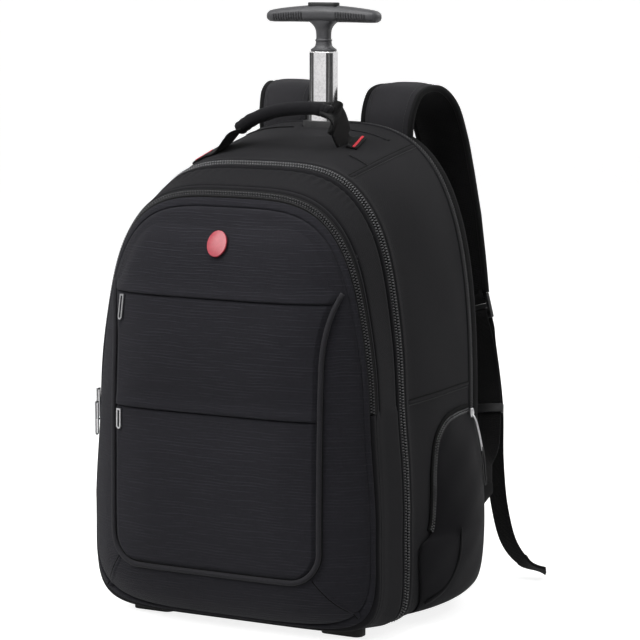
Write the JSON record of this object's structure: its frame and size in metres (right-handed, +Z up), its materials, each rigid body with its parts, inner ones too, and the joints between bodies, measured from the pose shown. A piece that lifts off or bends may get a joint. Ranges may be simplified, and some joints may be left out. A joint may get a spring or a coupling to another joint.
{
  "type": "wheeled backpack",
  "caption": "Upright wheeled backpack with a domed front, padded shoulder straps, a telescoping T handle, recessed wheels and two front feet.",
  "frame": {"origin": "middle of the whole part's extent on the floor that it stands on", "axes": "+Z up, -Y out of the front face, +X across to the right as seen from the front"},
  "size_m": [0.39, 0.3782, 0.6012],
  "materials": {
    "body_cloth": "matte black polyester twill",
    "panel_cloth": "black ribbed polyester",
    "piping": "black cloth piping",
    "zipper": "black coil zip on woven tape",
    "back_mesh": "black spacer mesh over foam",
    "strap_cloth": "black cloth over foam",
    "webbing": "black ribbed webbing",
    "buckle_plastic": "moulded black plastic",
    "black_plastic": "moulded black plastic",
    "handle_plastic": "satin dark grey plastic",
    "tube_metal": "polished anodised aluminium",
    "pull_metal": "polished dark nickel",
    "badge": "satin red enamel",
    "tyre": "matte black polyurethane",
    "hub_plastic": "dark grey plastic",
    "axle_steel": "brushed steel",
    "foot_rubber": "matte black rubber"
  },
  "bodies": {
    "bag": {"main_gusset": "body_cloth", "front_gusset": "body_cloth", "front_lower_band": "body_cloth", "front_panel": "body_cloth", "front_panel_top": "panel_cloth", "pocket_panel_middle": "panel_cloth", "pocket_panel_lower": "panel_cloth", "pocket_piping": "piping", "back_zipper": "zipper", "main_zipper": "zipper", "front_zipper": "zipper", "side_pocket_zipper_left": "zipper", "side_pocket_zipper_right": "zipper", "back_panel": "back_mesh", "side_pocket_left": "body_cloth", "side_pocket_right": "body_cloth", "front_badge": "badge", "pocket_pull_upper": "pull_metal", "pocket_pull_lower": "pull_metal", "front_zip_pull_upper": "pull_metal", "front_zip_pull_lower": "pull_metal", "main_zip_pull": "pull_metal", "grab_handle_grip": "body_cloth", "handle_webbing_left": "webbing", "handle_webbing_right": "webbing", "shoulder_strap_left": "strap_cloth", "shoulder_strap_right": "strap_cloth", "ladder_lock_left": "buckle_plastic", "ladder_lock_right": "buckle_plastic", "strap_webbing_left": "webbing", "strap_webbing_right": "webbing", "webbing_keeper_left": "buckle_plastic", "webbing_keeper_right": "buckle_plastic", "anchor_tab_left": "webbing", "anchor_tab_right": "webbing", "pole_socket": "black_plastic", "outer_tube": "tube_metal", "wheel_chassis": "black_plastic", "axle_left": "axle_steel", "axle_right": "axle_steel", "foot_left": "foot_rubber", "foot_right": "foot_rubber"},
    "pole_middle": {"middle_tube": "tube_metal", "middle_collar": "black_plastic"},
    "pole_upper": {"inner_tube": "tube_metal", "trolley_handle": "handle_plastic"},
    "button": {"handle_button": "black_plastic"},
    "wheel_left": {"tyre_left": "tyre", "wheel_hub_left": "hub_plastic"},
    "wheel_right": {"tyre_right": "tyre", "wheel_hub_right": "hub_plastic"}
  },
  "joints": [
    {"name": "pole_lower_slide", "type": "slide", "parent": "bag", "child": "pole_middle", "axis": [0, 0, 1], "range_m": [-0.016, 0.22]},
    {"name": "pole_upper_slide", "type": "slide", "parent": "pole_middle", "child": "pole_upper", "axis": [0, 0, 1], "range_m": [-0.049, 0.22]},
    {"name": "button_slide", "type": "slide", "parent": "pole_upper", "child": "button", "axis": [0, 0, 1], "range_m": [-0.004, 0], "stiffness_N_per_m": 300, "springref_m": 0.002},
    {"name": "wheel_left_spin", "type": "hinge", "parent": "bag", "child": "wheel_left", "pos_m": [-0.118, 0.05602, 0.027], "axis": [1, 0, 0], "continuous": true},
    {"name": "wheel_right_spin", "type": "hinge", "parent": "bag", "child": "wheel_right", "pos_m": [0.118, 0.05602, 0.027], "axis": [1, 0, 0], "continuous": true}
  ]
}
